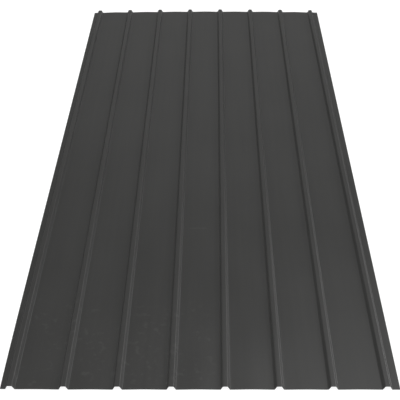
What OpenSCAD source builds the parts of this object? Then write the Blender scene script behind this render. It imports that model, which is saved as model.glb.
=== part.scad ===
// Ribbed steel sheet for roofs and walls, roll-formed in one piece from flat coil.
// It lies with its pans on the floor: X runs across the ribs, Y along them and Z up.
// The origin is on the underside, in the middle of the sheet's width and length.

/* [Sheet] */
// Length of the sheet, cut square at both ends
sheet_length = 2000; // [500:10:6000]
// Thickness of the coated steel
sheet_thickness = 0.4; // [0.3:0.05:1]

/* [Ribs] */
// Number of ribs across the sheet
rib_count = 8; // [2:1:12]
// Distance from the centre of one rib to the centre of the next
rib_pitch = 122.5; // [80:0.5:250]
// Height of a crest's top face above the underside of the pans
rib_height = 10.5; // [8:0.5:20]
// Width of a rib at the pans, between the corners where its flanks start
rib_foot = 21.5; // [18:0.5:40]
// Width of a rib's crest, between the corners of its flanks
rib_crest = 11; // [6:0.5:16]
// Inside radius of every bend
bend_radius = 2; // [0.4:0.1:2.5]

/* [Edges] */
// Flat flange outside the first rib, which laps over the next sheet
over_lap = 12.5; // [4:0.5:40]
// Flat flange outside the last rib, which the next sheet laps over
under_lap = 18.5; // [4:0.5:40]

/* [Hidden] */

// Flat facets that make up each bend
bend_facets = 6;
// Colour of the coated face
coat_colour = [0.26, 0.26, 0.26];

sheet_width = over_lap + rib_foot + (rib_count - 1) * rib_pitch + under_lap;
left_edge = -sheet_width / 2;
right_edge = sheet_width / 2;
first_rib = left_edge + over_lap + rib_foot / 2;

// The section follows the sheet's mid-line, halfway through its thickness
half_thickness = sheet_thickness / 2;
pan_level = half_thickness;
crest_level = rib_height - half_thickness;
flank_angle = atan2(crest_level - pan_level, (rib_foot - rib_crest) / 2);
bend_mid_radius = bend_radius + half_thickness;

function reversed(list) = [for (i = [len(list) - 1 : -1 : 0]) list[i]];

// One face of a bend that rounds a corner of the mid-line, turning from one direction to another.
// The face is the upper one where side is 1, and the lower one where side is -1.
function bend_face(corner, from, to, side) =
    let (
        turn = sign(to - from),
        tangent_length = bend_mid_radius * tan(abs(to - from) / 2),
        centre = corner - tangent_length * [cos(from), sin(from)]
            + turn * bend_mid_radius * [-sin(from), cos(from)],
        reach = turn * bend_mid_radius - side * half_thickness
    )
    [
        for (i = [0 : bend_facets])
            let (angle = from + (to - from) * i / bend_facets)
            centre + reach * [sin(angle), -cos(angle)]
    ];

// One face of a rib from foot to foot: up the left flank, over the crest and down the right flank
function rib_face(x, side) = concat(
    bend_face([x - rib_foot / 2, pan_level], 0, flank_angle, side),
    bend_face([x - rib_crest / 2, crest_level], flank_angle, 0, side),
    bend_face([x + rib_crest / 2, crest_level], 0, -flank_angle, side),
    bend_face([x + rib_foot / 2, pan_level], -flank_angle, 0, side)
);

// One face of the whole section, from the left edge to the right edge
function sheet_face(side) = concat(
    [[left_edge, pan_level + side * half_thickness]],
    [for (i = [0 : rib_count - 1]) each rib_face(first_rib + i * rib_pitch, side)],
    [[right_edge, pan_level + side * half_thickness]]
);

module sheet_section() {
    polygon(concat(sheet_face(1), reversed(sheet_face(-1))));
}

module ribbed_sheet() {
    color(coat_colour)
        rotate([90, 0, 0])
            linear_extrude(height = sheet_length, center = true)
                sheet_section();
}

ribbed_sheet();
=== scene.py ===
import math

import bpy
import numpy as np
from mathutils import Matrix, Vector


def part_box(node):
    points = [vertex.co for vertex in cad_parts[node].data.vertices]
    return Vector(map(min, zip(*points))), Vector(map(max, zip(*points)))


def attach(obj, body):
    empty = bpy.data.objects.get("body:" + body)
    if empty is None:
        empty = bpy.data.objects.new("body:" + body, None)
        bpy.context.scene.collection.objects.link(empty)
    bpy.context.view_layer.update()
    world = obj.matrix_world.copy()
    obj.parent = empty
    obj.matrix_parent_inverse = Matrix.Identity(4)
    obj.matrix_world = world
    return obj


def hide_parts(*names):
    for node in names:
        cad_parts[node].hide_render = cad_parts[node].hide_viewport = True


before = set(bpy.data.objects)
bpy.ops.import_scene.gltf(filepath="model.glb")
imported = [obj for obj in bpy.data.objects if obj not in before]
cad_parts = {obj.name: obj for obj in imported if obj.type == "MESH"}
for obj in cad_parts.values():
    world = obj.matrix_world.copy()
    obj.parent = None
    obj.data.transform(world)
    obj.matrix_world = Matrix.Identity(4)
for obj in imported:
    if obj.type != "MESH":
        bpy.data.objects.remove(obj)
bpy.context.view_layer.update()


# The sheet
# One length of thin steel, galvanised, painted on the coil and roll-formed into ribs and flat pans.
# It is sheared square at both ends and lies loose on the floor, with its pans slightly crowned.

sheet_low, sheet_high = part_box("ribbed_sheet")
sheet_length = sheet_high.y - sheet_low.y
half_length = sheet_length / 2
half_width = (sheet_high.x - sheet_low.x) / 2
rib_height = sheet_high.z - sheet_low.z
sheet_thickness = 0.0004
rib_count = 8
rib_pitch = 0.1225
rib_foot = 0.0215
rib_crest = 0.011
bend_radius = 0.002
over_lap = 0.0125

half_thickness = sheet_thickness / 2
pan_level = half_thickness
crest_level = rib_height - half_thickness
bend_mid_radius = bend_radius + half_thickness
flank_angle = math.atan2(crest_level - pan_level, (rib_foot - rib_crest) / 2)
first_rib = sheet_low.x + over_lap + rib_foot / 2
rib_centres = [first_rib + i * rib_pitch for i in range(rib_count)]

# How many faces of the mesh lie across each bend, flank, crest, pan and flange
bend_steps = 6
flank_steps = 2
crest_steps = 2
pan_steps = 12
flange_steps = 3


def straight(start, end, angle, steps):
    """Points of the mid-line between two points, without the two, each as (x, z, angle)."""
    run = end[0] - start[0]
    rise = end[1] - start[1]
    shares = np.linspace(0, 1, steps + 1)[1:-1]
    return [(start[0] + share * run, start[1] + share * rise, angle) for share in shares]


def bend(corner_x, corner_z, turn_from, turn_to):
    """Points of the mid-line round a bend that turns from one angle to another at a corner."""
    reach = math.copysign(1, turn_to - turn_from) * bend_mid_radius
    tangent_length = bend_mid_radius * math.tan(abs(turn_to - turn_from) / 2)
    centre_x = corner_x - tangent_length * math.cos(turn_from) - reach * math.sin(turn_from)
    centre_z = corner_z - tangent_length * math.sin(turn_from) + reach * math.cos(turn_from)
    angles = np.linspace(turn_from, turn_to, bend_steps + 1)
    return [(centre_x + reach * math.sin(a), centre_z - reach * math.cos(a), a) for a in angles]


def rib(x):
    """Points of the mid-line over one rib, from its left foot to its right foot."""
    left_foot = bend(x - rib_foot / 2, pan_level, 0, flank_angle)
    left_shoulder = bend(x - rib_crest / 2, crest_level, flank_angle, 0)
    right_shoulder = bend(x + rib_crest / 2, crest_level, 0, -flank_angle)
    right_foot = bend(x + rib_foot / 2, pan_level, -flank_angle, 0)
    left_flank = straight(left_foot[-1], left_shoulder[0], flank_angle, flank_steps)
    crest = straight(left_shoulder[-1], right_shoulder[0], 0, crest_steps)
    right_flank = straight(right_shoulder[-1], right_foot[0], -flank_angle, flank_steps)
    return left_foot + left_flank + left_shoulder + crest + right_shoulder + right_flank + right_foot


# The mid-line of the section, from the over-lap edge to the under-lap edge
left_edge = (sheet_low.x, pan_level, 0.0)
right_edge = (sheet_high.x, pan_level, 0.0)
section = [left_edge]
for i, x in enumerate(rib_centres):
    next_rib = rib(x)
    flat_steps = pan_steps if i else flange_steps
    section += straight(section[-1], next_rib[0], 0.0, flat_steps)
    section += next_rib
section += straight(section[-1], right_edge, 0.0, flange_steps)
section.append(right_edge)
mid_x, mid_z, mid_angle = np.array(section).T
unrolled = np.concatenate([[0], np.cumsum(np.hypot(np.diff(mid_x), np.diff(mid_z)))])

# Rows along the sheet, closer together towards the ends
row_count = 121
row_crowding = 0.6
row_share = np.linspace(-1, 1, row_count)
row_y = half_length * (row_share + row_crowding * np.sin(math.pi * row_share) / math.pi)
column_count = len(mid_x)
column_x = mid_x[None, :]
column_y = row_y[:, None]

# The pans bow up a little between the ribs, most at the cut ends, and each has faint waves of its own
pan_crown = 0.0003
end_crown = 0.0007
end_crown_reach = 0.12
wave_height = 0.0001
waves_along_sheet = (1.6, 2.7, 4.3)
pan_chance = np.random.default_rng(seed=7)
near_end = np.exp(-(column_y + half_length) / end_crown_reach)
far_end = np.exp(-(half_length - column_y) / end_crown_reach)
lift = np.zeros((row_count, column_count))
for left, right in zip(rib_centres[:-1], rib_centres[1:]):
    pan_middle = (left + right) / 2
    pan_half_width = (right - left - rib_foot) / 2
    across = (column_x - pan_middle) / pan_half_width
    crown_shape = np.where(np.abs(across) < 1, (1 - across**2) ** 2, 0)
    waves = 0
    for count in waves_along_sheet:
        wave_start = pan_chance.uniform(0, 2 * math.pi)
        waves = waves + np.sin(count * column_y / half_length * math.pi + wave_start)
    lift += crown_shape * (pan_crown + end_crown * (near_end + far_end) + wave_height * waves)

# The far end is arched across its width and a little higher on the under-lap side
far_arch = 0.0044
far_tilt = 0.0015
far_arch_start = -0.2
along_arch = np.clip((column_y - far_arch_start) / (half_length - far_arch_start), 0, 1)
across_sheet = column_x / half_width
lift += (far_arch * (1 - across_sheet**2) + far_tilt * (1 + across_sheet) / 2) * along_arch**2

# The near over-lap corner has been knocked up and inwards
corner_lift = 0.0026
corner_lift_reach = 0.2
corner_push = 0.0028
corner_push_reach = 0.15
corner_reach_across = 0.1
from_left = (column_x + half_width) / corner_reach_across
from_near = column_y + half_length
lift += corner_lift * np.exp(-from_left - from_near / corner_lift_reach)
push = corner_push * np.exp(-from_left - from_near / corner_push_reach)

# Both faces, half a thickness either side of the mid-line
sides = (1, -1)
out_x = -np.sin(mid_angle) * half_thickness
out_z = np.cos(mid_angle) * half_thickness
points = []
for side in sides:
    face_x = mid_x + side * out_x + push
    face_y = np.broadcast_to(column_y, lift.shape)
    face_z = mid_z + side * out_z + lift
    points.append(np.stack([face_x, face_y, face_z], axis=2).reshape(-1, 3))
index = np.arange(len(sides) * row_count * column_count)
top, back = index.reshape(len(sides), row_count, column_count)


def strips(first, second):
    """The corners of each face between two rows of points that run side by side, four to a face."""
    return np.stack([first[:-1], first[1:], second[1:], second[:-1]], axis=1)


top_faces = np.concatenate([strips(top[j], top[j + 1]) for j in range(row_count - 1)])
back_faces = np.concatenate([strips(back[j + 1], back[j]) for j in range(row_count - 1)])

# The rows of points on both sides of each cut edge, with their places along it
row_places = row_y + half_length
cut_runs = [
    (back[0], top[0], unrolled),
    (top[-1], back[-1], unrolled),
    (top[:, 0], back[:, 0], row_places),
    (back[:, -1], top[:, -1], row_places),
]
cut_faces = np.concatenate([strips(first, second) for first, second, places in cut_runs])
faces = np.concatenate([top_faces, back_faces, cut_faces])

sheet_mesh = bpy.data.meshes.new("coated_sheet")
sheet_mesh.from_pydata(np.concatenate(points).tolist(), [], faces.tolist())
coat_slot, back_slot, cut_slot = 0, 1, 2
face_counts = [len(top_faces), len(back_faces), len(cut_faces)]
face_slots = np.repeat([coat_slot, back_slot, cut_slot], face_counts)
sheet_mesh.polygons.foreach_set("material_index", face_slots.astype(np.int32))
sheet_mesh.polygons.foreach_set("use_smooth", face_slots != cut_slot)

# The rim is sharp, so that each face is flat up to its cut edges, and the bends are smooth
sharp_from = math.radians(60)
sheet_mesh.set_sharp_from_angle(angle=sharp_from)

# The flat map lays the two faces side by side in metres, as the coil was before forming.
# Each of the four cut edges lies beside them, in a narrow strip of its own.
map_gap = 0.005
strip_width = 0.01
strip_sides = [0.0, 0.0, strip_width, strip_width]
face_step = unrolled[-1] + map_gap
face_u = np.concatenate([np.tile(unrolled + i * face_step, row_count) for i in range(len(sides))])
face_v = np.tile(np.repeat(row_places, column_count), len(sides))
face_corners = np.concatenate([top_faces, back_faces]).reshape(-1)
map_u = [face_u[face_corners]]
map_v = [face_v[face_corners]]
strip_start = len(sides) * face_step
for first, second, places in cut_runs:
    map_u.append(strip_start + np.tile(strip_sides, len(places) - 1))
    map_v.append(strips(places, places).reshape(-1))
    strip_start += strip_width + map_gap
map_width = strip_start
corner_uv = np.stack([np.concatenate(map_u) / map_width, np.concatenate(map_v) / sheet_length], axis=1)
flat_map = sheet_mesh.uv_layers.new(name="OFBake")
flat_map.uv.foreach_set("vector", corner_uv.astype(np.float32).reshape(-1))
sheet_mesh.update()

sheet = bpy.data.objects.new("coated_sheet", sheet_mesh)
bpy.context.scene.collection.objects.link(sheet)
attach(sheet, "root")
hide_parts("ribbed_sheet")


# The coat on the sheet's upper face
# Anthracite polyester paint, baked on the flat coil: satin, with a fine orange peel and faint streaks.
# Handling has left a few pale dusty spots and one short rub mark on it.


class Wire:
    """One output of a shader node. Arithmetic on it adds Math nodes to its material."""

    def __init__(self, tree, output):
        self.tree = tree
        self.output = output

    @classmethod
    def node(cls, tree, kind, settings, inputs, output=0):
        """Adds a node, makes its settings, sets or links its inputs, and gives one of its outputs."""
        made = tree.nodes.new(kind)
        for name, value in settings.items():
            setattr(made, name, value)
        for name, value in inputs.items():
            if isinstance(value, cls):
                value.feed(made.inputs[name])
            else:
                made.inputs[name].default_value = value
        return cls(tree, made.outputs[output])

    def feed(self, socket):
        """Links this output to an input of another node."""
        self.tree.links.new(self.output, socket)

    def math(self, operation, first, second):
        """A Math node on two values, each a wire or a number."""
        return Wire.node(self.tree, "ShaderNodeMath", {"operation": operation}, {0: first, 1: second})

    def __add__(self, other):
        return self.math("ADD", self, other)

    def __radd__(self, other):
        return self.math("ADD", other, self)

    def __sub__(self, other):
        return self.math("SUBTRACT", self, other)

    def __rsub__(self, other):
        return self.math("SUBTRACT", other, self)

    def __mul__(self, other):
        return self.math("MULTIPLY", self, other)

    def __rmul__(self, other):
        return self.math("MULTIPLY", other, self)

    def __abs__(self):
        return self.math("ABSOLUTE", self, 0.0)


def new_finish(name, colour):
    """A material with a plain colour for the viewport, its node tree and its shader."""
    finish = bpy.data.materials.new(name)
    finish.diffuse_color = (*colour, 1)
    finish.use_nodes = True
    tree = finish.node_tree
    return finish, tree, tree.nodes["Principled BSDF"]


def on_sheet(tree):
    """The place on the sheet, in metres from its origin."""
    return Wire.node(tree, "ShaderNodeTexCoord", {}, {}, output="Object")


def along(place, axis):
    """How far a place or a direction reaches along one axis, named by its letter."""
    return Wire.node(place.tree, "ShaderNodeSeparateXYZ", {}, {0: place}, output=axis)


def drawn_out(place, scale):
    """The same place with each axis scaled, so that noise on it is drawn out along the smallest one."""
    return Wire.node(place.tree, "ShaderNodeVectorMath", {"operation": "MULTIPLY"}, {0: place, 1: scale})


def noise(place, size, detail):
    """Soft noise between about 0 and 1, with lumps of about this size in metres."""
    inputs = {"Vector": place, "Scale": 1 / size, "Detail": detail}
    return Wire.node(place.tree, "ShaderNodeTexNoise", {}, inputs)


def swing(level, by):
    """How far a noise is above or below its middle, times a number."""
    return (level - 0.5) * by


def ramp(value, low, high):
    """Goes softly from 0 at low to 1 at high, and no further. Low may be the larger of the two."""
    settings = {"interpolation_type": "SMOOTHSTEP"}
    inputs = {"Value": value, "From Min": low, "From Max": high}
    return Wire.node(value.tree, "ShaderNodeMapRange", settings, inputs)


# Sockets of a Mix node for colours, which have the same names as its sockets for numbers
mix_share, mix_first, mix_second, mix_result = 0, 6, 7, 2


def mixed(share, first, second):
    """A colour between two colours, each a wire or its red, green and blue."""
    first, second = [c if isinstance(c, Wire) else (*c, 1) for c in (first, second)]
    inputs = {mix_share: share, mix_first: first, mix_second: second}
    return Wire.node(share.tree, "ShaderNodeMix", {"data_type": "RGBA"}, inputs, output=mix_result)


def bumps(height, strength, depth):
    """A normal that follows a height between 0 and 1, which stands for this depth in metres."""
    inputs = {"Strength": strength, "Distance": depth, "Height": height}
    return Wire.node(height.tree, "ShaderNodeBump", {}, inputs)


coat_dark = (0.0400, 0.0400, 0.0389)
coat_pale = (0.0500, 0.0500, 0.0487)
coat, tree, shader = new_finish("anthracite_coat", coat_pale)
place = on_sheet(tree)
spot_x = along(place, "X")
spot_y = along(place, "Y")

# Tone: broad cloudiness, streaks along the coil and a fine grain
coil_draw = (1, 0.03, 1)
clouds = noise(place, size=0.25, detail=3)
streaks = noise(drawn_out(place, coil_draw), size=0.012, detail=2)
grain = noise(place, size=0.0016, detail=2)
coat_tone = 0.5 + swing(clouds, by=0.9) + swing(streaks, by=0.5) + swing(grain, by=0.9)
coat_colour = mixed(coat_tone, coat_dark, coat_pale)

# Dust lies in soft pale spots by the near end, from the over-lap side to the middle pan
dust_grey = (0.115, 0.114, 0.110)
dust_fade_x = (0.06, 0.02)
dust_fade_y = (-0.66, -0.78)
dust_weight = 0.13
spot_rise = (0.54, 0.72)
patch_rise = (0.42, 0.58)
dust_spots = ramp(noise(place, size=0.016, detail=1), *spot_rise)
dust_patches = ramp(noise(place, size=0.09, detail=1), *patch_rise)
dust = dust_spots * dust_patches * ramp(spot_x, *dust_fade_x) * ramp(spot_y, *dust_fade_y) * dust_weight

# The rub mark crosses part of the middle pan
rub_middle = -0.4146
rub_half_width = 0.006
rub_left = -0.038
rub_right = 0.015
rub_fade = 0.005
rub_weight = 0.12
off_rub = abs(spot_y - rub_middle)
rub_from = ramp(spot_x, rub_left, rub_left + rub_fade)
rub_to = ramp(spot_x, rub_right, rub_right - rub_fade)
rub = ramp(off_rub, rub_half_width, 0.0) * rub_from * rub_to
worn = dust + rub * rub_weight
mixed(worn, coat_colour, dust_grey).feed(shader.inputs["Base Color"])

# Gloss: satin, a little duller where the coat is worn, over a fine orange peel
coat_roughness = 0.22
worn_roughness = 0.3
coat_specular = 0.36
coat_dullness = coat_roughness + swing(clouds, by=0.06) + swing(streaks, by=0.06) + worn * worn_roughness
coat_dullness.feed(shader.inputs["Roughness"])
shader.inputs["Specular IOR Level"].default_value = coat_specular
orange_peel = noise(place, size=0.0022, detail=1)
bumps(orange_peel, strength=0.06, depth=0.0004).feed(shader.inputs["Normal"])
sheet_mesh.materials.append(coat)


# The back coat on the sheet's underside
# A thin light-grey primer that the coil line rolls on to keep the steel from rusting.
# It is matt and a little cloudy, since nobody is meant to see it.

primer_dark = (0.31, 0.31, 0.30)
primer_pale = (0.37, 0.37, 0.36)
primer_roughness = 0.58
back_coat, tree, shader = new_finish("grey_back_coat", primer_pale)
place = on_sheet(tree)
clouds = noise(place, size=0.09, detail=4)
streaks = noise(drawn_out(place, coil_draw), size=0.006, detail=2)
primer_tone = 0.5 + swing(clouds, by=0.9) + swing(streaks, by=0.9)
mixed(primer_tone, primer_dark, primer_pale).feed(shader.inputs["Base Color"])
primer_dullness = primer_roughness + swing(clouds, by=0.12)
primer_dullness.feed(shader.inputs["Roughness"])
primer_grain = noise(place, size=0.0015, detail=2)
bumps(primer_grain, strength=0.08, depth=0.0003).feed(shader.inputs["Normal"])
sheet_mesh.materials.append(back_coat)


# The cut edges
# Steel and zinc, as thin as the sheet, where the coil was slit along its sides and sheared at its ends.
# They are coloured darker than bare steel, as painted shade along the sheet's edges, with fine upright
# marks from the blades.

# Both tones are painted shade: darker than bare steel, so that the cut edges read as a dark line.
shaded_steel_dark = (0.045, 0.045, 0.044)
shaded_steel_pale = (0.14, 0.14, 0.14)
steel_roughness = 0.35
mark_roughness = 0.25
shear_draw = (1, 1, 0.1)
cut_steel, tree, shader = new_finish("sheared_steel", shaded_steel_pale)
shear_marks = noise(drawn_out(on_sheet(tree), shear_draw), size=0.0012, detail=3)
mixed(shear_marks, shaded_steel_dark, shaded_steel_pale).feed(shader.inputs["Base Color"])
steel_dullness = steel_roughness + shear_marks * mark_roughness
steel_dullness.feed(shader.inputs["Roughness"])
shader.inputs["Metallic"].default_value = 1.0
sheet_mesh.materials.append(cut_steel)


# The floor
# A plain white studio floor, wide enough to fill the frame from any raised camera.
# It glows to the camera, so that it reads as white and still takes the sheet's shadow.
# Within a hand's breadth of the sheet, its glow as seen in the coat fades with the ray's length: painted
# shade standing for the sheet's shadow there.

floor_reach = 40.0
floor_white = (0.8, 0.8, 0.8)
floor_shade = (0.2, 0.2, 0.2)
floor_roughness = 0.9
floor_glow = 0.93
mirror_shade_rise = (0.03, 0.30)
floor_mesh = bpy.data.meshes.new("floor")
floor_corners = [(x * floor_reach, y * floor_reach, 0) for x, y in ((-1, -1), (1, -1), (1, 1), (-1, 1))]
floor_mesh.from_pydata(floor_corners, [], [(0, 1, 2, 3)])
floor = bpy.data.objects.new("floor", floor_mesh)
bpy.context.scene.collection.objects.link(floor)
floor_paint, tree, shader = new_finish("white_floor", floor_white)
shader.inputs["Base Color"].default_value = (*floor_shade, 1)
shader.inputs["Roughness"].default_value = floor_roughness
shader.inputs["Specular IOR Level"].default_value = 0.0
shader.inputs["Emission Color"].default_value = (1, 1, 1, 1)


def ray(quality):
    """Whether the ray that meets the floor is of this kind, or how far it has come."""
    return Wire.node(tree, "ShaderNodeLightPath", {}, {}, output=quality)


# Painted shade: the floor's glow in the coat's reflection is turned down for short rays, close beside
# the sheet.
seen_in_coat = ray("Is Glossy Ray") * ramp(ray("Ray Length"), *mirror_shade_rise)
glow = (ray("Is Camera Ray") + seen_in_coat + ray("Is Transmission Ray")) * floor_glow
glow.feed(shader.inputs["Emission Strength"])
floor_mesh.materials.append(floor_paint)


# The light
# A dim studio, darkest in the far left corner, with one wide soft light overhead and a paler far wall.
# Pale screens stand on the left, on the right and in the far right corner, and a small one hangs ahead.
# A soft lamp stands low on the right, and with the screens there it draws bright lines along the ribs.

room = bpy.data.worlds.new("studio")
room.use_nodes = True
tree = room.node_tree
toward = Wire.node(tree, "ShaderNodeTexCoord", {}, {}, output="Generated")


def patch(azimuth, elevation, reach, core, level):
    """A soft round patch of the room, at this level within its core and fading out at its reach.
    The angles are in degrees, and the azimuth runs clockwise from straight ahead."""
    turn = math.radians(azimuth)
    rise = math.radians(elevation)
    middle = (math.sin(turn) * math.cos(rise), math.cos(turn) * math.cos(rise), math.sin(rise))
    settings = {"operation": "DOT_PRODUCT"}
    facing = Wire.node(tree, "ShaderNodeVectorMath", settings, {0: toward, 1: middle}, output="Value")
    return level * ramp(facing, math.cos(math.radians(reach)), math.cos(math.radians(core)))


room_base = 0.321
overhead_level = 1.85
overhead_rise = (0.72, 1.0)
overhead = overhead_level * ramp(along(toward, "Z"), *overhead_rise)
dim_corner = patch(azimuth=-30, elevation=15, reach=63.3, core=36.9, level=-0.20)
left_screen = patch(azimuth=-90, elevation=20, reach=53.1, core=0, level=0.81)
right_screen = patch(azimuth=65, elevation=12, reach=25.8, core=0, level=1.1)
corner_screen = patch(azimuth=46, elevation=28, reach=18, core=0, level=2.6)
far_wall = patch(azimuth=0, elevation=27, reach=15.2, core=5.7, level=0.165)
small_screen = patch(azimuth=18, elevation=55, reach=14, core=0, level=1.2)
room_level = room_base + overhead + dim_corner + left_screen + right_screen
room_level = room_level + corner_screen + far_wall + small_screen
backdrop = tree.nodes["Background"]
backdrop.inputs["Color"].default_value = (1, 1, 1, 1)
room_level.feed(backdrop.inputs["Strength"])
bpy.context.scene.world = room

lamp_place = Vector((2.5, 0.0, 0.8))
lamp_target = Vector((0.2, -0.8, 0.0))
lamp_width = 1.8
lamp_height = 1.0
lamp_watts = 10.0
lamp_data = bpy.data.lights.new("soft_lamp", "AREA")
lamp_data.shape = "RECTANGLE"
lamp_data.size = lamp_width
lamp_data.size_y = lamp_height
lamp_data.energy = lamp_watts
lamp = bpy.data.objects.new("soft_lamp", lamp_data)
bpy.context.scene.collection.objects.link(lamp)
lamp.location = lamp_place
lamp.rotation_euler = (lamp_target - lamp_place).to_track_quat("-Z", "Y").to_euler()


# The camera
# It is held at eye height in front of the near end and looks down along the sheet.
# Its picture is cut a little off-centre, which a sideways shift of the lens stands for.

image_width = 400
sensor_width = 36.0
focal_pixels = 875.5
principal_x = 213.62
camera_place = (0.0318, -2.3323, 1.5301)
camera_pitch = 36.723
camera_data = bpy.data.cameras.new("camera")
camera_data.sensor_width = sensor_width
camera_data.lens = focal_pixels * sensor_width / image_width
camera_data.shift_x = (image_width / 2 - principal_x) / image_width
camera = bpy.data.objects.new("camera", camera_data)
camera.location = camera_place
camera.rotation_euler = (math.radians(90 - camera_pitch), 0, 0)
bpy.context.scene.collection.objects.link(camera)
bpy.context.scene.camera = camera
bpy.context.scene.view_settings.view_transform = "Standard"
